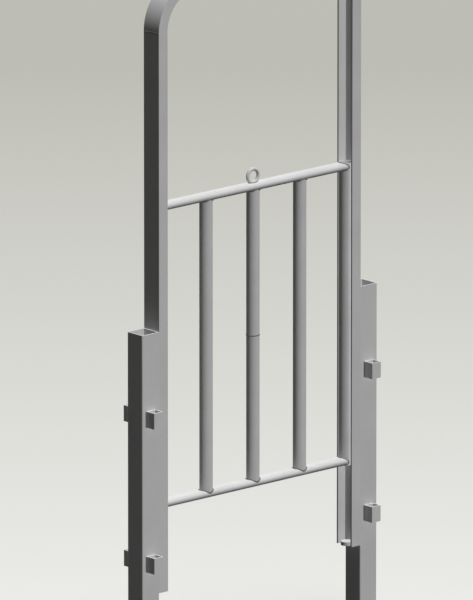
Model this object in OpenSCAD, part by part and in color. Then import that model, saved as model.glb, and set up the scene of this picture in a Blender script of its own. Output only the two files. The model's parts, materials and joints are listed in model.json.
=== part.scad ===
// Guillotine gate: a barred panel that lifts between two channel guides.
// The guides bend over at the top into one hoop, and each stands against a square post.
// +X runs along the gate, +Y to its back, +Z up. The origin is on the foot of the left post.

/* [Posts] */
// Side of the square hollow posts, and depth of the channel guides
post_side = 60; // [50:1:90]
// Wall of the posts
post_wall = 3; // [2:0.5:6]
// Rounding of the posts' long corners
post_corner = 3; // [1:0.5:5]
// Height of the posts above the ground
post_height = 900; // [700:10:1200]

/* [Channel guides] */
// Distance between the outer faces of the two guides
guide_span = 724; // [600:2:1000]
// Width of the channel's flanges
channel_flange = 31; // [28:1:50]
// Thickness of the channel's web and flanges
channel_wall = 5; // [3:0.5:8]
// Height of the guides' lower ends above the ground
channel_foot = 180; // [100:10:300]
// Height at which the guides start to bend over
bend_start = 1715; // [1400:5:2200]
// Outer radius of the two bends
bend_radius = 132; // [80:2:220]

/* [Stops] */
// Diameter of the round stop in the lower end of each guide
stop_d = 33; // [24:1:40]
// Thickness of the stops
stop_thickness = 10; // [5:1:20]

/* [Lugs] */
// Side of the square lugs
lug_side = 32; // [24:1:45]
// Wall of the lugs
lug_wall = 3; // [2:0.5:5]
// Rounding of the lugs' long corners
lug_corner = 2; // [1:0.5:3]
// Height of one lug
lug_height = 44; // [30:1:70]
// Height of the lower lugs' centres above the ground
lug_low = 268; // [200:2:300]
// Distance from the lower lugs to the upper ones
lug_pitch = 400; // [300:5:450]

/* [Panel] */
// Diameter of the end tubes that run in the guides
stile_d = 40; // [34:1:40]
// Running gap between an end tube and the web of its guide
stile_gap = 0.8; // [0.3:0.1:3]
// Diameter of the tubes between the rails
bar_d = 36; // [20:1:36]
// Wall of the round tubes
tube_wall = 2.5; // [1.5:0.25:4]
// Depth of the flat oval rails, front to back
rail_depth = 38; // [36.5:0.5:38]
// Height of the flat oval rails
rail_height = 20; // [16:1:26]
// Wall of the rails
rail_wall = 2; // [1.5:0.25:3]
// Distance between the two rails' centres
rail_pitch = 818; // [600:2:1000]
// How far the panel is lifted above its stops
lift = 216; // [0:2:400]

/* [Lifting ring] */
// Diameter of the ring at the middle of its rod
ring_d = 37; // [30:1:70]
// Diameter of the ring's rod
ring_rod = 9.5; // [5:0.5:14]
// How deep the ring's rod is let into the rail
ring_sink = 5; // [1:0.5:6]

/* [Hidden] */
$fn = 64;

half_span = guide_span / 2;
hoop_top = bend_start + bend_radius;
// The left post's inner wall stands on the origin
origin_shift = half_span + post_wall / 2;

stile_x = half_span - channel_wall - stile_gap - stile_d / 2;
bar_pitch = stile_x / 2;
stop_x = half_span - channel_wall - stop_d / 2;

panel_foot = channel_foot + stop_thickness + lift;
low_rail_z = panel_foot + rail_height / 2;
high_rail_z = low_rail_z + rail_pitch;
joint_z = (low_rail_z + high_rail_z) / 2;
panel_height = rail_pitch + rail_height;
ring_z = high_rail_z + rail_height / 2 + (ring_d + ring_rod) / 2 - ring_sink;

LEFT = -1;
RIGHT = 1;
FRONT = -1;
BACK = 1;

POST_GREY = [0.60, 0.60, 0.60];
CHANNEL_GREY = [0.56, 0.56, 0.56];
LUG_GREY = [0.50, 0.50, 0.50];
PANEL_GREY = [0.72, 0.72, 0.72];
RING_GREY = [0.66, 0.66, 0.66];

// Everything is drawn about the middle of the gate and moved to the origin here
module from_left_foot() {
    translate([origin_shift, 0, 0]) children();
}

// Draws a right-hand piece on either side of the gate
module on_side(side) {
    from_left_foot() mirror([side == LEFT ? 1 : 0, 0, 0]) children();
}

module rounded_square(side, corner) {
    flat = side - 2 * corner;
    square([side, flat], center = true);
    square([flat, side], center = true);
    for (x = [-flat / 2, flat / 2], y = [-flat / 2, flat / 2])
        translate([x, y]) circle(corner);
}

module square_tube(side, wall, corner, height) {
    linear_extrude(height) difference() {
        rounded_square(side, corner);
        square(side - 2 * wall, center = true);
    }
}

// Plan of the channel: its web stands on x = 0 and its flanges reach towards +x
module channel_web_section() {
    inner = post_side - 2 * channel_wall;
    translate([0, -inner / 2]) square([channel_wall, inner]);
}

module channel_flange_section(face) {
    translate([0, face == FRONT ? -post_side / 2 : post_side / 2 - channel_wall])
        square([channel_flange, channel_wall]);
}

module channel_section() {
    channel_web_section();
    for (face = [FRONT, BACK]) channel_flange_section(face);
}

module round_tube(d, height) {
    linear_extrude(height) difference() {
        circle(d = d);
        circle(d = d - 2 * tube_wall);
    }
}

module flat_oval(depth, height) {
    centre = (depth - height) / 2;
    square([2 * centre, height], center = true);
    for (x = [-centre, centre]) translate([x, 0]) circle(height / 2);
}

// A shape on the rails' section, run from the axis of one end tube to the axis of the other
module along_rail(z) {
    translate([-stile_x, 0, z]) rotate([90, 0, 90]) linear_extrude(2 * stile_x) children();
}

// The space that one rail fills
module rail_blank(z) {
    along_rail(z) flat_oval(rail_depth, rail_height);
}

// The space that the right-hand end tube fills
module stile_blank() {
    translate([stile_x, 0, panel_foot]) cylinder(d = stile_d, h = panel_height);
}

module post(side) {
    color(POST_GREY) on_side(side) translate([half_span + post_side / 2, 0, 0])
        square_tube(post_side, post_wall, post_corner, post_height);
}

// A guide is drawn as three flats, its web and two flanges, so that each collides as a plain slab
module on_guide(side) {
    color(CHANNEL_GREY) on_side(side) translate([half_span, 0, channel_foot]) mirror([1, 0, 0])
        linear_extrude(bend_start - channel_foot) children();
}

module channel_web(side) {
    on_guide(side) channel_web_section();
}

module channel_flange(side, face) {
    on_guide(side) channel_flange_section(face);
}

module bend(side) {
    color(CHANNEL_GREY) on_side(side) translate([half_span - bend_radius, 0, bend_start])
        rotate([90, 0, 0]) rotate_extrude(angle = 90)
            translate([bend_radius, 0]) mirror([1, 0]) channel_section();
}

module top_channel() {
    color(CHANNEL_GREY) from_left_foot() translate([bend_radius - half_span, 0, hoop_top])
        rotate([0, 90, 0]) linear_extrude(guide_span - 2 * bend_radius) channel_section();
}

// The stop bears against the web, under the near side of its end tube
module stop(side) {
    color(CHANNEL_GREY) on_side(side) translate([stop_x, 0, channel_foot])
        cylinder(d = stop_d, h = stop_thickness);
}

module lug(side, face, z) {
    color(LUG_GREY) on_side(side)
        translate([half_span + post_side / 2, face * (post_side + lug_side) / 2, z - lug_height / 2])
            square_tube(lug_side, lug_wall, lug_corner, lug_height);
}

module low_lug(side, face) {
    lug(side, face, lug_low);
}

module high_lug(side, face) {
    lug(side, face, lug_low + lug_pitch);
}

module stile(side) {
    color(PANEL_GREY) on_side(side) translate([stile_x, 0, panel_foot])
        round_tube(stile_d, panel_height);
}

// A rail's ends are cut to fit round the end tubes
module rail(z) {
    color(PANEL_GREY) from_left_foot() difference() {
        along_rail(z) difference() {
            flat_oval(rail_depth, rail_height);
            flat_oval(rail_depth - 2 * rail_wall, rail_height - 2 * rail_wall);
        }
        stile_blank();
        mirror([1, 0, 0]) stile_blank();
    }
}

// A bar between two heights, cut to fit round the rails
module bar(x, from_z, to_z) {
    color(PANEL_GREY) from_left_foot() difference() {
        translate([x, 0, from_z]) round_tube(bar_d, to_z - from_z);
        rail_blank(low_rail_z);
        rail_blank(high_rail_z);
    }
}

module lifting_ring() {
    color(RING_GREY) from_left_foot() difference() {
        translate([0, 0, ring_z]) rotate([90, 0, 0])
            rotate_extrude() translate([ring_d / 2, 0]) circle(d = ring_rod);
        rail_blank(high_rail_z);
    }
}

post(LEFT);  // left_post
post(RIGHT);  // right_post
channel_web(LEFT);  // left_channel_web
channel_flange(LEFT, FRONT);  // left_channel_front_flange
channel_flange(LEFT, BACK);  // left_channel_back_flange
channel_web(RIGHT);  // right_channel_web
channel_flange(RIGHT, FRONT);  // right_channel_front_flange
channel_flange(RIGHT, BACK);  // right_channel_back_flange
bend(LEFT);  // left_bend
bend(RIGHT);  // right_bend
top_channel();
stop(LEFT);  // left_stop
stop(RIGHT);  // right_stop
low_lug(LEFT, FRONT);  // left_front_low_lug
high_lug(LEFT, FRONT);  // left_front_high_lug
low_lug(LEFT, BACK);  // left_back_low_lug
high_lug(LEFT, BACK);  // left_back_high_lug
low_lug(RIGHT, FRONT);  // right_front_low_lug
high_lug(RIGHT, FRONT);  // right_front_high_lug
low_lug(RIGHT, BACK);  // right_back_low_lug
high_lug(RIGHT, BACK);  // right_back_high_lug
stile(LEFT);  // left_stile
stile(RIGHT);  // right_stile
rail(low_rail_z);  // low_rail
rail(high_rail_z);  // high_rail
bar(-bar_pitch, low_rail_z, high_rail_z);  // left_bar
bar(bar_pitch, low_rail_z, high_rail_z);  // right_bar
bar(0, low_rail_z, joint_z);  // middle_bar_lower
bar(0, joint_z, high_rail_z);  // middle_bar_upper
lifting_ring();
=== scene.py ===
# %% [markdown]
# The part is a guillotine gate: a panel of round bars slides up and down between two channel guides.
# The guides bend over into one hoop at the top, and each stands against a square hollow post.
# Every sawn and bent length comes ready made from the CAD model, at its real size and place.
# This lesson adds what a workshop adds afterwards: the welds that hold the lengths together,
# and the look of the steel.

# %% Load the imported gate
import json
import math

import bmesh
import bpy
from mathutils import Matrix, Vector


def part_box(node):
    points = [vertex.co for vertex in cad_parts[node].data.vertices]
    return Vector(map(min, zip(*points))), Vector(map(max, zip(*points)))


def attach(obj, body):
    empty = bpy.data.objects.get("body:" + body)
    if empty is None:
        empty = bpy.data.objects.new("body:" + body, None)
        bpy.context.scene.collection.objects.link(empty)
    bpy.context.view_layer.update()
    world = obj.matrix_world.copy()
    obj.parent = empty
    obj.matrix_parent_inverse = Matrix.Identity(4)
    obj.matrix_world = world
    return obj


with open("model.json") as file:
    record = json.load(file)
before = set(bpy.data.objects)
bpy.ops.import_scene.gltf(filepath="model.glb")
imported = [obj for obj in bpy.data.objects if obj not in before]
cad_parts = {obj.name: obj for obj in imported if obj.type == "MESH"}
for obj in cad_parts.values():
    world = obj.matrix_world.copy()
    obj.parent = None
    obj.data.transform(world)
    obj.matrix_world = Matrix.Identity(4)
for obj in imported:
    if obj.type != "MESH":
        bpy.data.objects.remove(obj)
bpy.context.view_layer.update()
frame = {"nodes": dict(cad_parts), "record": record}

NODES = frame["nodes"]

# %% [markdown]
# The welds are placed from the boxes of the CAD pieces, so that they follow the model if a size changes.
# A box is two corners, and most welds only need its middle, so this small helper comes first.
# The gate is the same on its left and right, so copies are mirrored in the plane between the two posts.

# %% Find the middle of the gate
def middle(node):
    """The centre of a CAD piece's box."""
    low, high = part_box(node)
    return (low + high) / 2


GATE_MIDDLE = (middle("left_post") + middle("right_post")) / 2
print("the gate's middle is at x =", round(GATE_MIDDLE.x, 4))

# %% [markdown]
# The gate is looked at from the front left and a little above, with its upright edges all parallel.
# An orthographic camera would give that, but it can't step back to show the whole gate in other views.
# A very long lens a long way off gives almost the same parallel picture, so that is the choice here.
# The view cuts off the hoop and the feet, so the camera aims at a point on the panel
# and shows 1.6 m of height.

# %% Set up the camera
VIEW_AZIMUTH = math.radians(-41.9)
VIEW_ELEVATION = math.radians(14.6)
SHOWN_HEIGHT = 1.602
LENS_MM = 1100.0
SENSOR_MM = 36.0
SIGHT_IN_DISTANCES = 4
AIM_LEFT_OF_MIDDLE = 0.0588
AIM_HEIGHT = 0.93

toward_camera = Vector((
    math.sin(VIEW_AZIMUTH) * math.cos(VIEW_ELEVATION),
    -math.cos(VIEW_AZIMUTH) * math.cos(VIEW_ELEVATION),
    math.sin(VIEW_ELEVATION),
))
camera_distance = SHOWN_HEIGHT * LENS_MM / SENSOR_MM
aim = Vector((GATE_MIDDLE.x - AIM_LEFT_OF_MIDDLE, 0, AIM_HEIGHT))

bpy.ops.object.select_all(action="DESELECT")
bpy.ops.object.camera_add(location=aim + toward_camera * camera_distance)
camera = bpy.context.object
camera.name = "camera"
camera.rotation_euler = (-toward_camera).to_track_quat("-Z", "Y").to_euler()
camera.data.lens = LENS_MM
camera.data.sensor_width = SENSOR_MM
camera.data.clip_end = SIGHT_IN_DISTANCES * camera_distance
bpy.context.scene.camera = camera
bpy.context.scene.view_settings.view_transform = "Standard"
print("camera", round(camera_distance, 2), "m from the panel")

# %% [markdown]
# The light is a plain studio set: a key lamp high in front, a weaker one behind and a soft one overhead.
# The key alone would throw a long shadow down the post under each lug and leave the guides black inside.
# So the key and the back lamp cast no shadow, and every face that looks their way is lit evenly,
# also inside the open channels.
# The overhead lamp does cast one, and its wide angle lays a soft shadow on the floor
# that shows where the posts stand.

# %% Add the lamps
KEY_FROM = Vector((0.06, -0.55, 0.835))
KEY_STRENGTH = 3.0
BACK_FROM = Vector((0.45, 0.85, 0.28))
BACK_STRENGTH = 1.5
FACE_LAMP_SPREAD = math.radians(6)
OVERHEAD_FROM = Vector((0.06, -0.06, 1.0))
OVERHEAD_STRENGTH = 1.1
OVERHEAD_SPREAD = math.radians(30)
LAMP_DISTANCE = 4


def add_lamp(name, shines_from, strength, spread, casts_shadow):
    """A sun lamp that shines from the given direction, as wide as its spread."""
    bpy.ops.object.light_add(type="SUN", location=GATE_MIDDLE + shines_from * LAMP_DISTANCE)
    lamp = bpy.context.object
    lamp.name = name
    lamp.rotation_euler = shines_from.to_track_quat("Z", "Y").to_euler()
    lamp.data.energy = strength
    lamp.data.angle = spread
    lamp.data.use_shadow = casts_shadow
    print("lamp", name, "strength", strength)


add_lamp("key_lamp", KEY_FROM, KEY_STRENGTH, FACE_LAMP_SPREAD, casts_shadow=False)
add_lamp("back_lamp", BACK_FROM, BACK_STRENGTH, FACE_LAMP_SPREAD, casts_shadow=False)
add_lamp("overhead_lamp", OVERHEAD_FROM, OVERHEAD_STRENGTH, OVERHEAD_SPREAD, casts_shadow=True)

# %% [markdown]
# The room round the gate is a pale wall when it is looked at, and nearly dark as a source of light.
# One world colour can't be both, so Light Path tells the two uses apart.
# The camera and reflections see the pale wall.
# Everything else gets a little fill that keeps the dark faces readable.

# %% Make the room
WALL_COLOUR = (0.56, 0.56, 0.52, 1.0)
FILL_COLOUR = (0.034, 0.034, 0.034, 1.0)


def seen_directly(nodes, links):
    """A socket that is 1 for rays from the camera, a reflection or a clear material."""
    path = nodes.new("ShaderNodeLightPath")
    first = nodes.new("ShaderNodeMath")
    first.operation = "MAXIMUM"
    links.new(path.outputs["Is Camera Ray"], first.inputs[0])
    links.new(path.outputs["Is Glossy Ray"], first.inputs[1])
    second = nodes.new("ShaderNodeMath")
    second.operation = "MAXIMUM"
    links.new(first.outputs[0], second.inputs[0])
    links.new(path.outputs["Is Transmission Ray"], second.inputs[1])
    return second.outputs[0]


world = bpy.data.worlds.new("studio")
bpy.context.scene.world = world
world.use_nodes = True
nodes, links = world.node_tree.nodes, world.node_tree.links
nodes.clear()
wall = nodes.new("ShaderNodeBackground")
wall.inputs["Color"].default_value = WALL_COLOUR
fill = nodes.new("ShaderNodeBackground")
fill.inputs["Color"].default_value = FILL_COLOUR
pick_wall = nodes.new("ShaderNodeMixShader")
links.new(seen_directly(nodes, links), pick_wall.inputs["Fac"])
links.new(fill.outputs[0], pick_wall.inputs[1])
links.new(wall.outputs[0], pick_wall.inputs[2])
links.new(pick_wall.outputs[0], nodes.new("ShaderNodeOutputWorld").inputs["Surface"])
print("room made")

# %% [markdown]
# The floor is a plain pale sheet, lighter near the camera and greyer far behind the gate.
# It could be lit by a lamp of its own, but then its glow would wash out the gate's dark faces.
# A gradient in its colour paints that fall of light in as shade, greyer far behind the gate, and Light Path
# keeps its bounce off the steel.
# It is still lit by the lamps, so it keeps the gate's soft shadow.

# %% Lay the floor
FLOOR_SIDE = 120.0
NEAR_FLOOR = (0.636, 0.636, 0.617, 1.0)
FAR_FLOOR = (0.388, 0.388, 0.35, 1.0)
FLOOR_BOUNCE = (0.03, 0.03, 0.03, 1.0)
GRADIENT_NEAR = 0.37
GRADIENT_FAR = 6.55

bpy.ops.object.select_all(action="DESELECT")
bpy.ops.mesh.primitive_plane_add(size=FLOOR_SIDE, location=(GATE_MIDDLE.x, 0, 0))
floor = bpy.context.object
floor.name = "studio_floor"
bpy.ops.object.transform_apply(location=True, rotation=True, scale=True)

floor_finish = bpy.data.materials.new("pale_floor")
floor_finish.use_nodes = True
nodes, links = floor_finish.node_tree.nodes, floor_finish.node_tree.links
nodes.clear()
place = nodes.new("ShaderNodeTexCoord")
depth = nodes.new("ShaderNodeVectorMath")
depth.operation = "DOT_PRODUCT"
depth.inputs[1].default_value = Vector((-toward_camera.x, -toward_camera.y, 0)).normalized()
links.new(place.outputs["Object"], depth.inputs[0])
# Painted shade: the floor's colour turns from NEAR_FLOOR to the greyer FAR_FLOOR with distance from the
# camera.
fall = nodes.new("ShaderNodeMapRange")
fall.inputs["From Min"].default_value = GRADIENT_NEAR
fall.inputs["From Max"].default_value = GRADIENT_FAR
links.new(depth.outputs["Value"], fall.inputs["Value"])
tone = nodes.new("ShaderNodeMix")
tone.data_type = "RGBA"
tone.inputs["A"].default_value = NEAR_FLOOR
tone.inputs["B"].default_value = FAR_FLOOR
links.new(fall.outputs["Result"], tone.inputs["Factor"])
pale = nodes.new("ShaderNodeBsdfDiffuse")
links.new(tone.outputs["Result"], pale.inputs["Color"])
dim = nodes.new("ShaderNodeBsdfDiffuse")
dim.inputs["Color"].default_value = FLOOR_BOUNCE
pick_floor = nodes.new("ShaderNodeMixShader")
links.new(seen_directly(nodes, links), pick_floor.inputs["Fac"])
links.new(dim.outputs[0], pick_floor.inputs[1])
links.new(pale.outputs[0], pick_floor.inputs[2])
links.new(pick_floor.outputs[0], nodes.new("ShaderNodeOutputMaterial").inputs["Surface"])
floor.data.materials.append(floor_finish)
print("floor laid,", FLOOR_SIDE, "m square")

# %% [markdown]
# Every length of the gate is the same dull grey steel, which is matt and has no brushed lines.
# A real mill surface is never one flat grey: its tone wanders slowly, and close up it has a fine grain.
# Image textures would need unwrapping, so two noise textures on the pieces' own coordinates do it instead.
# The slow noise and the fine one together mix two close greys.
# The fine one alone also moves the roughness and makes a faint grain in the relief.

# %% Make the steel finishes
STEEL_SPECULAR = 0.25
PATCH_DETAIL = 4.0
GRAIN_DETAIL = 3.0
GRAIN_SHARE = 0.5
RELIEF_STRENGTH = 0.15


def noise(nodes, links, place, scale, detail):
    """A noise texture on object coordinates, as a socket between 0 and 1."""
    texture = nodes.new("ShaderNodeTexNoise")
    texture.inputs["Scale"].default_value = scale
    texture.inputs["Detail"].default_value = detail
    links.new(place.outputs["Object"], texture.inputs["Vector"])
    return texture.outputs["Fac"]


def steel(name, dark, light, smooth, rough, patch_scale, grain_scale, grain_height):
    """A matt steel whose grey wanders from dark to light and whose roughness from smooth to rough."""
    finish = bpy.data.materials.new(name)
    finish.use_nodes = True
    nodes, links = finish.node_tree.nodes, finish.node_tree.links
    shader = nodes["Principled BSDF"]
    shader.inputs["Specular IOR Level"].default_value = STEEL_SPECULAR
    place = nodes.new("ShaderNodeTexCoord")

    patches = noise(nodes, links, place, patch_scale, PATCH_DETAIL)
    grain = noise(nodes, links, place, grain_scale, GRAIN_DETAIL)
    mottle = nodes.new("ShaderNodeMix")
    mottle.inputs["Factor"].default_value = GRAIN_SHARE
    links.new(patches, mottle.inputs["A"])
    links.new(grain, mottle.inputs["B"])
    greys = nodes.new("ShaderNodeMix")
    greys.data_type = "RGBA"
    greys.inputs["A"].default_value = (dark, dark, dark, 1.0)
    greys.inputs["B"].default_value = (light, light, light, 1.0)
    links.new(mottle.outputs["Result"], greys.inputs["Factor"])
    links.new(greys.outputs["Result"], shader.inputs["Base Color"])

    gloss = nodes.new("ShaderNodeMapRange")
    gloss.inputs["To Min"].default_value = smooth
    gloss.inputs["To Max"].default_value = rough
    links.new(grain, gloss.inputs["Value"])
    links.new(gloss.outputs["Result"], shader.inputs["Roughness"])

    relief = nodes.new("ShaderNodeBump")
    relief.inputs["Strength"].default_value = RELIEF_STRENGTH
    relief.inputs["Distance"].default_value = grain_height
    links.new(grain, relief.inputs["Height"])
    links.new(relief.outputs["Normal"], shader.inputs["Normal"])
    print("finish", name)
    return finish


POST_FINISH = steel(
    "post_mill_steel", dark=0.45, light=0.65, smooth=0.55, rough=0.68,
    patch_scale=7.0, grain_scale=320.0, grain_height=0.0002,
)
CHANNEL_FINISH = steel(
    "channel_mill_steel", dark=0.45, light=0.65, smooth=0.52, rough=0.66,
    patch_scale=9.0, grain_scale=360.0, grain_height=0.0002,
)
LUG_FINISH = steel(
    "lug_mill_steel", dark=0.46, light=0.66, smooth=0.54, rough=0.68,
    patch_scale=24.0, grain_scale=400.0, grain_height=0.0002,
)
PANEL_FINISH = steel(
    "panel_tube_steel", dark=0.46, light=0.66, smooth=0.48, rough=0.62,
    patch_scale=14.0, grain_scale=440.0, grain_height=0.0001,
)
WELD_FINISH = steel(
    "weld_bead_steel", dark=0.10, light=0.20, smooth=0.45, rough=0.70,
    patch_scale=140.0, grain_scale=600.0, grain_height=0.0003,
)

# %% [markdown]
# Each CAD piece gets the finish of the section that it is cut from.
# The record's material slots name the same four sections.
# The finish could be set piece by piece, but a short table of slots and finishes is less to read.

# %% Give every CAD piece its finish
SLOT_FINISH = {
    "post_steel": POST_FINISH,
    "channel_steel": CHANNEL_FINISH,
    "lug_steel": LUG_FINISH,
    "panel_steel": PANEL_FINISH,
}
for part in frame["record"]["subparts"]:
    piece = NODES[part["node"]]
    piece.data.materials.clear()
    piece.data.materials.append(SLOT_FINISH[part["material_slot"]])
print("finished", len(NODES), "CAD pieces")

# %% [markdown]
# The welds are made with the same few moves: start clean, add a primitive, pick corners or faces,
# and shape them.
# Picking by hand in the viewport isn't possible in a script, so it is done by a test,
# on a corner's place or on a face's normal.
# These helpers hold those moves and the ways of copying a piece.
# One of them settles a finished piece: place in the mesh, normals outward, finish and body.

# %% Helpers for picking and settling
SMOOTH_ANGLE = math.radians(40)
LEFT_TO_RIGHT = (True, False, False)
FRONT_TO_BACK = (False, True, False)
LOW_TO_HIGH = (False, False, True)


def start_clean():
    """Leaves nothing selected, so that the next operator acts on its own piece only."""
    bpy.ops.object.select_all(action="DESELECT")


def make_active(piece):
    """Leaves only this piece selected, and active."""
    start_clean()
    piece.select_set(True)
    bpy.context.view_layer.objects.active = piece


def pick_corners(test):
    """In edit mode, selects only the corners whose place passes the test."""
    bpy.ops.mesh.select_mode(type="VERT")
    bpy.ops.mesh.select_all(action="DESELECT")
    mesh = bmesh.from_edit_mesh(bpy.context.object.data)
    for corner in mesh.verts:
        corner.select = test(corner.co)
    mesh.select_flush(True)
    bmesh.update_edit_mesh(bpy.context.object.data)


def pick_faces(test):
    """In edit mode, selects only the faces whose normal passes the test."""
    bpy.ops.mesh.select_mode(type="FACE")
    bpy.ops.mesh.select_all(action="DESELECT")
    mesh = bmesh.from_edit_mesh(bpy.context.object.data)
    for face in mesh.faces:
        face.select = test(face.normal)
    bmesh.update_edit_mesh(bpy.context.object.data)


def face_outward(piece):
    """Turns every face of the piece outward."""
    make_active(piece)
    bpy.ops.object.mode_set(mode="EDIT")
    bpy.ops.mesh.select_all(action="SELECT")
    bpy.ops.mesh.normals_make_consistent(inside=False)
    bpy.ops.object.mode_set(mode="OBJECT")


def settle(piece, body, finish):
    """Puts the piece's place into its mesh, smooths it, and hands it to its finish and body."""
    face_outward(piece)
    bpy.ops.object.transform_apply(location=True, rotation=True, scale=True)
    bpy.ops.object.shade_smooth_by_angle(angle=SMOOTH_ANGLE)
    piece.data.materials.clear()
    piece.data.materials.append(finish)
    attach(piece, body)
    print("made", piece.name, "with", len(piece.data.polygons), "faces")


def copy_of(piece, name):
    """A copy of the piece with a mesh of its own, left selected and active."""
    make_active(piece)
    bpy.ops.object.duplicate(linked=False)
    bpy.context.object.name = name
    return bpy.context.object


def mirrored_copy(piece, name, axes, about):
    """A copy of the piece, mirrored along the given axes through a point."""
    twin = copy_of(piece, name)
    bpy.ops.transform.mirror(constraint_axis=axes, center_override=about)
    bpy.ops.object.transform_apply(location=True, rotation=True, scale=True)
    return twin


print("helpers ready")

# %% [markdown]
# Where a guide stands against its post, the post's rounded corner leaves a shallow groove,
# down the front and down the back.
# It is taken to be filled with weld and ground flush, so that post and guide look like one flat face.
# A cube the size of the corner is added there and cut in half from corner to corner,
# which leaves a three-sided filler.
# One filler is made, and the other three are mirrored from it.

# %% Fill the seams between posts and guides
SEAM_SIDE = 0.003


def seam_filler(name):
    """The flush weld at the front of the left post and guide."""
    guide_low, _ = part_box("left_channel_front_flange")
    _, post_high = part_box("left_post")
    foot, top = guide_low.z, post_high.z
    at = (guide_low.x - SEAM_SIDE / 2, guide_low.y + SEAM_SIDE / 2, (foot + top) / 2)
    start_clean()
    bpy.ops.mesh.primitive_cube_add(size=1, location=at)
    bpy.context.object.name = name
    bpy.context.object.scale = (SEAM_SIDE, SEAM_SIDE, top - foot)
    bpy.ops.object.transform_apply(location=False, rotation=False, scale=True)
    bpy.ops.object.mode_set(mode="EDIT")
    bpy.ops.mesh.select_all(action="SELECT")
    bpy.ops.mesh.bisect(
        plane_co=at, plane_no=(-1, 1, 0), use_fill=True, clear_outer=True
    )
    bpy.ops.object.mode_set(mode="OBJECT")
    return bpy.context.object


left_front_seam = seam_filler("left_front_seam_weld")
seams = [
    left_front_seam,
    mirrored_copy(left_front_seam, "left_back_seam_weld", FRONT_TO_BACK, GATE_MIDDLE),
    mirrored_copy(left_front_seam, "right_front_seam_weld", LEFT_TO_RIGHT, GATE_MIDDLE),
]
seams.append(mirrored_copy(seams[1], "right_back_seam_weld", LEFT_TO_RIGHT, GATE_MIDDLE))
for seam in seams:
    settle(seam, "frame", POST_FINISH)

# %% [markdown]
# A weld bead is a low rounded ridge, with a ripple every few millimetres where the pool of metal set.
# A bump in the material alone would leave the outline smooth, so the ripples are made in the mesh.
# Every second ring of corners along a bead is fattened a little with Shrink/Fatten,
# which moves them along the surface's own normals.
# Then a Displace modifier with a small cloud texture makes the ripples uneven, and it is applied at once.

# %% Helpers for the ripple of a bead
BEAD_RADIUS = 0.0024
RIPPLE_PITCH = 0.0024
RIPPLE_RISE = 0.0004
UNEVEN_DEPTH = 0.0005
UNEVEN_SCALE = 0.005
uneven_texture = bpy.data.textures.new("weld_unevenness", "CLOUDS")
uneven_texture.noise_scale = UNEVEN_SCALE


def raise_ripples(step_of):
    """In edit mode, fattens every second step along a bead; step_of counts steps from a place."""
    pick_corners(lambda place: round(step_of(place)) % 2 == 1)
    bpy.ops.transform.shrink_fatten(value=RIPPLE_RISE)


def make_uneven(bead):
    """Moves a bead's surface in and out a little, so that no two ripples are alike."""
    make_active(bead)
    uneven = bead.modifiers.new("uneven", "DISPLACE")
    uneven.texture = uneven_texture
    uneven.texture_coords = "LOCAL"
    uneven.strength = UNEVEN_DEPTH
    bpy.ops.object.modifier_apply(modifier=uneven.name)


print("bead radius", BEAD_RADIUS, "and ripple pitch", RIPPLE_PITCH)

# %% [markdown]
# The lugs on the posts and the stops in the guides are held by straight upright beads, in pairs.
# A straight bead could be a curve with thickness, but a cylinder is quicker to taper at its ends.
# It is subdivided along its length for the ripple.
# Its end faces are extruded a little and scaled down, so the bead dies out instead of stopping square.
# The second bead of a pair is duplicated inside the same mesh, so that a pair is one piece.

# %% Helpers for straight beads
BEAD_SIDES = 12
END_TAPER = 0.45
END_FACE_NORMAL = 0.9


def straight_bead(name, at, length, radius):
    """An upright bead with tapered ends, left active."""
    body = length - 2 * radius
    steps = max(2, 2 * round(body / RIPPLE_PITCH / 2))
    start_clean()
    bpy.ops.mesh.primitive_cylinder_add(
        vertices=BEAD_SIDES, radius=radius, depth=body, end_fill_type="NGON", location=at
    )
    bead = bpy.context.object
    bead.name = name
    bpy.ops.object.mode_set(mode="EDIT")
    bpy.ops.mesh.select_mode(type="EDGE")
    bpy.ops.mesh.select_all(action="DESELECT")
    mesh = bmesh.from_edit_mesh(bead.data)
    for edge in mesh.edges:
        edge.select = abs(edge.verts[0].co.z - edge.verts[1].co.z) > body / 2
    bmesh.update_edit_mesh(bead.data)
    bpy.ops.mesh.subdivide(number_cuts=steps - 1)
    raise_ripples(lambda place: (place.z + body / 2) / body * steps)
    for end in (1, -1):
        pick_faces(lambda normal: normal.z * end > END_FACE_NORMAL)
        bpy.ops.mesh.extrude_region_move(
            TRANSFORM_OT_translate={"value": (0, 0, end * radius)}
        )
        bpy.ops.transform.resize(value=(END_TAPER, END_TAPER, 1))
    bpy.ops.object.mode_set(mode="OBJECT")
    return bead


def add_second_bead(offset):
    """Duplicates the active bead inside its own mesh, moved by the offset."""
    bpy.ops.object.mode_set(mode="EDIT")
    bpy.ops.mesh.select_all(action="SELECT")
    bpy.ops.mesh.duplicate_move(TRANSFORM_OT_translate={"value": offset})
    bpy.ops.object.mode_set(mode="OBJECT")


print("straight beads have", BEAD_SIDES, "sides")

# %% [markdown]
# Each lug is a short square tube that is welded to its post down both of its sides.
# The eight lugs are alike, so only the first one's pair of beads is modelled.
# An array could repeat it, but the lugs stand on both faces of both posts.
# Copies that are moved from lug to lug are simpler.

# %% Weld the lugs to the posts
LUG_NAMES = [
    f"{side}_{face}_{level}_lug"
    for side in ("left", "right") for face in ("front", "back") for level in ("low", "high")
]


def lug_foot(lug):
    """The middle of the lug's face that lies on the post."""
    low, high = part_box(lug)
    on_post = high.y if middle(lug).y < 0 else low.y
    return Vector((middle(lug).x, on_post, middle(lug).z))


first_lug = LUG_NAMES[0]
lug_low, lug_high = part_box(first_lug)
lug_width = lug_high.x - lug_low.x
lug_bead = straight_bead(
    first_lug + "_weld",
    lug_foot(first_lug) - Vector((lug_width / 2, 0, 0)),
    lug_high.z - lug_low.z,
    BEAD_RADIUS,
)
add_second_bead((lug_width, 0, 0))
make_uneven(lug_bead)

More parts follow.
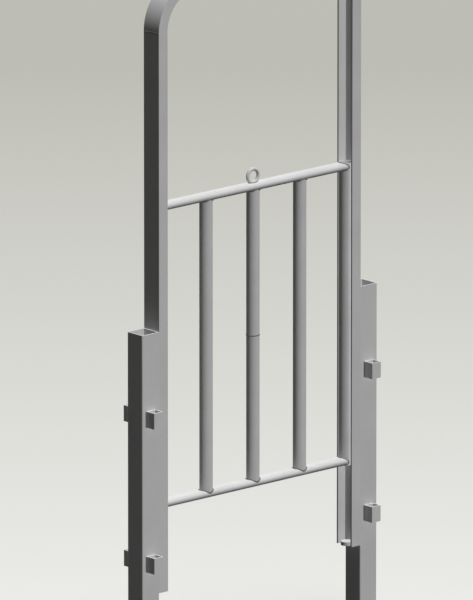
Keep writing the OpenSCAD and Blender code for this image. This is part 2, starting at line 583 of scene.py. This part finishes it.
lug_welds = [lug_bead]
for lug in LUG_NAMES[1:]:
    lug_welds.append(copy_of(lug_bead, lug + "_weld"))
    bpy.ops.transform.translate(value=lug_foot(lug) - lug_foot(first_lug))
for weld in lug_welds:
    settle(weld, "frame", WELD_FINISH)

# %% [markdown]
# The round stop in the foot of each guide only touches the guide's web along one line.
# A bead all round would be stronger, but the stop stands clear of the guide everywhere else.
# So two short upright beads, one on each side of that line, hold it there.
# They end just below the stop's top face, because the panel comes down onto it.

# %% Weld the stops into the guides
STOP_BEAD_RADIUS = 0.0015
STOP_BEAD_SIDEWAYS = 0.008
STOP_BEAD_SHORT = 0.002

stop_low, stop_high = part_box("left_stop")
stop_bead = straight_bead(
    "left_stop_weld",
    (stop_low.x + STOP_BEAD_RADIUS / 2, -STOP_BEAD_SIDEWAYS, middle("left_stop").z),
    stop_high.z - stop_low.z - STOP_BEAD_SHORT,
    STOP_BEAD_RADIUS,
)
add_second_bead((0, 2 * STOP_BEAD_SIDEWAYS, 0))
bpy.ops.object.transform_apply(location=True, rotation=True, scale=True)
stop_twin = mirrored_copy(stop_bead, "right_stop_weld", LEFT_TO_RIGHT, GATE_MIDDLE)
for weld in (stop_bead, stop_twin):
    settle(weld, "frame", WELD_FINISH)

# %% [markdown]
# The bends and the flat top of the hoop are separate lengths of channel, butted end to end and welded.
# On the flanges the weld is ground flush and doesn't show, and across the web it is left as a thin band.
# A flat cube makes the band, and a Bevel modifier gives it soft edges, as a light grinding does.
# It stops just short of the flanges' faces, so that nothing of it shows from the front.
# The first band is made at the foot of the left bend and turned to the bend's other end.
# Both are then mirrored to the right.

# %% Weld the bends into the hoop
BAND_WIDTH = 0.0026
BAND_PROUD = 0.0005
BAND_THICKNESS = 0.001
BAND_EDGE_SEGMENTS = 2
ROUND_THE_BEND = math.radians(-90)


def hoop_band(name):
    """The weld across the outside of the left guide's web where its bend starts."""
    low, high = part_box("left_channel_front_flange")
    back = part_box("left_channel_back_flange")[1].y
    start_clean()
    bpy.ops.mesh.primitive_cube_add(
        size=1, location=(low.x - BAND_PROUD + BAND_THICKNESS / 2, (low.y + back) / 2, high.z)
    )
    band = bpy.context.object
    band.name = name
    band.scale = (BAND_THICKNESS, back - low.y - 2 * BAND_PROUD, BAND_WIDTH)
    bpy.ops.object.transform_apply(location=False, rotation=False, scale=True)
    soft = band.modifiers.new("soft", "BEVEL")
    soft.width = BAND_PROUD / 2
    soft.segments = BAND_EDGE_SEGMENTS
    bpy.ops.object.modifier_apply(modifier=soft.name)
    bpy.ops.object.transform_apply(location=True, rotation=True, scale=True)
    return band


foot_band = hoop_band("left_bend_foot_weld")
top_band = copy_of(foot_band, "left_bend_top_weld")
bend_low, bend_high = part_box("left_bend")
bpy.ops.transform.rotate(
    value=ROUND_THE_BEND, orient_axis="Y", center_override=(bend_high.x, 0, bend_low.z)
)
bpy.ops.object.transform_apply(location=True, rotation=True, scale=True)
bands = [foot_band, top_band]
for band, name in ((foot_band, "right_bend_foot_weld"), (top_band, "right_bend_top_weld")):
    bands.append(mirrored_copy(band, name, LEFT_TO_RIGHT, GATE_MIDDLE))
for band in bands:
    settle(band, "frame", WELD_FINISH)

# %% [markdown]
# The bars, rails and end tubes of the panel meet tube to tube, and each joint has a bead all the way round.
# The bead starts as a torus, because a torus already closes on itself.
# Where two tubes cross, the bead isn't flat.
# So the next cells move it step by step round the ring until it lies on the other tube.

# %% Helpers for bead rings
RING_SIDES = 10
QUARTERS = 4
FEWEST_QUARTER_STEPS = 6
HALF_STEP = 0.5


def quarter_steps(radius):
    """How many steps a quarter of a ring takes: two for each ripple."""
    return max(FEWEST_QUARTER_STEPS, round(math.pi * radius / RIPPLE_PITCH))


def bead_ring(name, at, radius, bead_radius, turned=(0, 0, 0), rippled=True):
    """A round bead that closes on itself, left in edit mode."""
    steps = QUARTERS * quarter_steps(radius)
    start_clean()
    bpy.ops.mesh.primitive_torus_add(
        location=at, rotation=turned, major_radius=radius, minor_radius=bead_radius,
        major_segments=steps, minor_segments=RING_SIDES,
    )
    ring = bpy.context.object
    ring.name = name
    if rippled:
        bpy.ops.object.mode_set(mode="EDIT")
        raise_ripples(lambda place: math.atan2(place.y, place.x) / math.tau * steps)
        bpy.ops.object.mode_set(mode="OBJECT")
    bpy.ops.object.transform_apply(location=False, rotation=True, scale=True)
    bpy.ops.object.mode_set(mode="EDIT")
    return ring


def on_step(step, quarter, across, along):
    """True where a place lies on this step of a quarter ring, counted from the first direction."""
    angle = math.atan2(abs(along), abs(across))
    return abs(angle / (math.pi / 2) * quarter - step) < HALF_STEP


print("a bead ring takes at least", QUARTERS * FEWEST_QUARTER_STEPS, "steps")

# %% [markdown]
# A bar stands on the low rail or hangs under the high one, and its end is cut to fit the rail's flat oval.
# The joint is level over the rail's flat and falls away over its rounded front and back.
# A Shrinkwrap modifier could press the ring on, but it would also flatten the bead.
# Moving each step of the ring down by the fall of the oval keeps the bead round.
# One bead is made where the left bar stands on the low rail, and it is copied along that rail.
# All three are then mirrored up to the high rail.

# %% Weld the bars to the rails
def rail_shape(rail):
    """Half the length of the rail's flat, its rounding radius and its axis height."""
    low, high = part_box(rail)
    rounding = (high.z - low.z) / 2
    return (high.y - low.y) / 2 - rounding, rounding, (low.z + high.z) / 2


def bar_weld(bar, rail):
    """The bead where a bar stands on a rail."""
    half_flat, rounding, axis = rail_shape(rail)
    low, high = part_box(bar)
    radius = (high.x - low.x) / 2
    bead = bead_ring(
        f"{bar}_{rail}_weld", (middle(bar).x, 0, axis + rounding), radius, BEAD_RADIUS
    )
    quarter = quarter_steps(radius)
    for step in range(quarter + 1):
        past_flat = max(0, radius * math.sin(step / quarter * math.pi / 2) - half_flat)
        fall = rounding - math.sqrt(rounding ** 2 - past_flat ** 2)
        pick_corners(lambda place: on_step(step, quarter, place.x, place.y))
        bpy.ops.transform.translate(value=(0, 0, -fall))
    bpy.ops.object.mode_set(mode="OBJECT")
    make_uneven(bead)
    return bead


PANEL_MIDDLE = (middle("low_rail") + middle("high_rail")) / 2
first_bar_weld = bar_weld("left_bar", "low_rail")
bar_welds = [first_bar_weld]
for bar in ("middle_bar_lower", "right_bar"):
    bar_welds.append(copy_of(first_bar_weld, f"{bar}_low_rail_weld"))
    bpy.ops.transform.translate(value=(middle(bar).x - middle("left_bar").x, 0, 0))
for weld, bar in zip(bar_welds[:], ("left_bar", "middle_bar_upper", "right_bar")):
    bar_welds.append(mirrored_copy(weld, f"{bar}_high_rail_weld", LOW_TO_HIGH, PANEL_MIDDLE))
for weld in bar_welds:
    settle(weld, "panel", WELD_FINISH)

# %% [markdown]
# Two kinds of weld on the panel follow a flat oval: those round the rails' ends,
# and the one round the foot of the lifting ring.
# Scaling a ring would make an ellipse with a squashed bead.
# So each step of the ring is moved to its own place on the oval.
# The steps are shared out evenly along the oval, so the ripples stay evenly spaced on the flats too.
# The moves go from the oval's tips to its middle, so that a moved step never comes into a later pick.

# %% A helper that pulls a ring into a flat oval
def oval_point(share, half_flat, rounding):
    """A point on a quarter of a flat oval, by its share of the way from the middle to the tip.

    It is given as (along the flat, away from the oval's axis).
    """
    way = share * (half_flat + rounding * math.pi / 2)
    if way < half_flat:
        return way, rounding
    turn = (way - half_flat) / rounding
    return half_flat + rounding * math.sin(turn), rounding * math.cos(turn)


def pull_into_oval(half_flat, rounding, read, move):
    """Moves a ring onto a flat oval.

    read gives a corner's (along, away). move makes a shift from how far the step goes along and away,
    and from how far along the oval it ends up.
    """
    quarter = quarter_steps(rounding)
    for step in reversed(range(quarter + 1)):
        share = step / quarter
        along, away = oval_point(share, half_flat, rounding)
        more_along = along - rounding * math.sin(share * math.pi / 2)
        more_away = away - rounding * math.cos(share * math.pi / 2)
        for end in (1, -1):
            for level in (1, -1):
                def here(place):
                    near_along, near_away = read(place)
                    return (
                        on_step(step, quarter, near_away, near_along)
                        and (near_along > 0) == (end > 0) and (near_away > 0) == (level > 0)
                    )
                pick_corners(here)
                bpy.ops.transform.translate(value=move(end * more_along, level * more_away, along))


print("oval helper ready")

# %% [markdown]
# Each rail ends against the round end tubes, and its end is cut hollow to fit.
# The ring stands on edge here, and the moves that pull it into the oval also wrap it round the end tube.
# One bead is made at the low rail's left end and copied up to the high rail.
# Both are then mirrored to the right.
# Under the low rail the bead is first ground off level with the end tube's foot, which a bisect does here.
# Otherwise it would meet the stop when the panel comes down.

# %% Weld the rails to the end tubes
RAIL_BEAD_RADIUS = 0.0018


def rail_end_weld(rail):
    """The bead where a rail meets the left end tube."""
    half_flat, rounding, axis = rail_shape(rail)
    low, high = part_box("left_stile")
    tube_radius = (high.x - low.x) / 2
    bead = bead_ring(
        f"{rail}_left_end_weld", (middle("left_stile").x, 0, axis), rounding,
        RAIL_BEAD_RADIUS, turned=(0, math.pi / 2, 0),
    )
    pull_into_oval(
        half_flat, rounding,
        read=lambda place: (place.y, place.z),
        move=lambda along, away, reach: (math.sqrt(tube_radius ** 2 - reach ** 2), along, away),
    )
    bpy.ops.object.mode_set(mode="OBJECT")
    bpy.ops.object.transform_apply(location=True, rotation=True, scale=True)
    make_uneven(bead)
    return bead


def grind_off_below(bead, height):
    """Cuts the bead off level at a height and closes the cut."""
    make_active(bead)
    bpy.ops.object.mode_set(mode="EDIT")
    bpy.ops.mesh.select_all(action="SELECT")
    bpy.ops.mesh.bisect(
        plane_co=(0, 0, height), plane_no=(0, 0, 1), use_fill=True, clear_inner=True
    )
    bpy.ops.object.mode_set(mode="OBJECT")


low_end = rail_end_weld("low_rail")
high_end = copy_of(low_end, "high_rail_left_end_weld")
bpy.ops.transform.translate(value=middle("high_rail") - middle("low_rail"))
bpy.ops.object.transform_apply(location=True, rotation=True, scale=True)
grind_off_below(low_end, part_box("left_stile")[0].z)
rail_welds = [low_end, high_end]
for weld, rail in ((low_end, "low_rail"), (high_end, "high_rail")):
    rail_welds.append(mirrored_copy(weld, f"{rail}_right_end_weld", LEFT_TO_RIGHT, GATE_MIDDLE))
for weld in rail_welds:
    settle(weld, "panel", WELD_FINISH)

# %% [markdown]
# The middle bar is two lengths of tube that meet at half height.
# The joint shows as a thin dark line round the bar, so it has no ripples.
# It could be cut into the bar as a groove, but a groove would weaken the tube.
# A thin torus that is stretched a little along the bar stays low, as a ground butt weld does.

# %% Weld the two lengths of the middle bar
BUTT_RADIUS = 0.0012
BUTT_STRETCH = 1.5

bar_low, bar_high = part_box("middle_bar_lower")
butt = bead_ring(
    "middle_bar_joint_weld", (middle("middle_bar_lower").x, 0, bar_high.z),
    (bar_high.x - bar_low.x) / 2, BUTT_RADIUS, rippled=False,
)
bpy.ops.mesh.select_all(action="SELECT")
bpy.ops.transform.resize(value=(1, 1, BUTT_STRETCH))
bpy.ops.object.mode_set(mode="OBJECT")
settle(butt, "panel", WELD_FINISH)

# %% [markdown]
# The lifting ring is let into the top of the high rail, and a bead runs round its foot.
# A ring that is cut by a flat leaves a long narrow mark, longer along the rail than across it.
# The bead is a small torus of the rod's own width, pulled into an oval of the length of that mark.

# %% Weld the lifting ring to the rail
ring_low, ring_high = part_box("lifting_ring")
rod_radius = (ring_high.y - ring_low.y) / 2
ring_radius = (ring_high.x - ring_low.x) / 2
rail_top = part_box("high_rail")[1].z
centre_height = ring_high.z - ring_radius - rail_top
half_mark = math.sqrt(ring_radius ** 2 - centre_height ** 2)

foot_weld = bead_ring(
    "lifting_ring_foot_weld", (middle("lifting_ring").x, 0, rail_top), rod_radius, RAIL_BEAD_RADIUS
)
pull_into_oval(
    half_mark - rod_radius, rod_radius,
    read=lambda place: (place.x, place.y),
    move=lambda along, away, reach: (along, away, 0),
)
bpy.ops.object.mode_set(mode="OBJECT")
make_uneven(foot_weld)
settle(foot_weld, "panel", WELD_FINISH)
